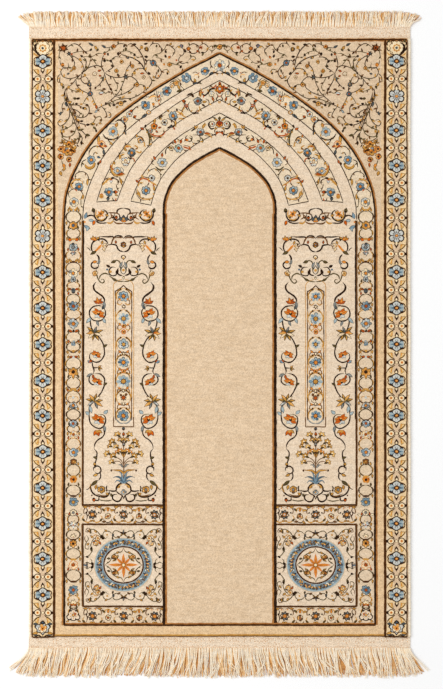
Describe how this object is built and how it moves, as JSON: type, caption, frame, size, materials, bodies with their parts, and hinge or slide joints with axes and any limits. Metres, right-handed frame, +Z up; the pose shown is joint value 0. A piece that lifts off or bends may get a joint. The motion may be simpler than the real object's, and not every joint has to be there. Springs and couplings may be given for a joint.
{
  "type": "prayer rug",
  "caption": "Flat rectangular prayer rug with a patterned pile, overcast long edges and a fringed tape across each end.",
  "frame": {"origin": "middle of the pile cloth, on the flat underside that lies on the floor", "axes": "+X across the rug, +Y along it towards the top of the niche, +Z up out of the pile"},
  "size_m": [0.7524, 1.2228, 0.005],
  "materials": {
    "pile": "short cut pile, matt",
    "edge_yarn": "whipped yarn, matt",
    "fringe_yarn": "twisted yarn, matt"
  },
  "bodies": {
    "root": {"pile_cloth": "pile", "overcast_left": "edge_yarn", "overcast_right": "edge_yarn", "fringe_top": "fringe_yarn", "fringe_bottom": "fringe_yarn"}
  },
  "joints": []
}
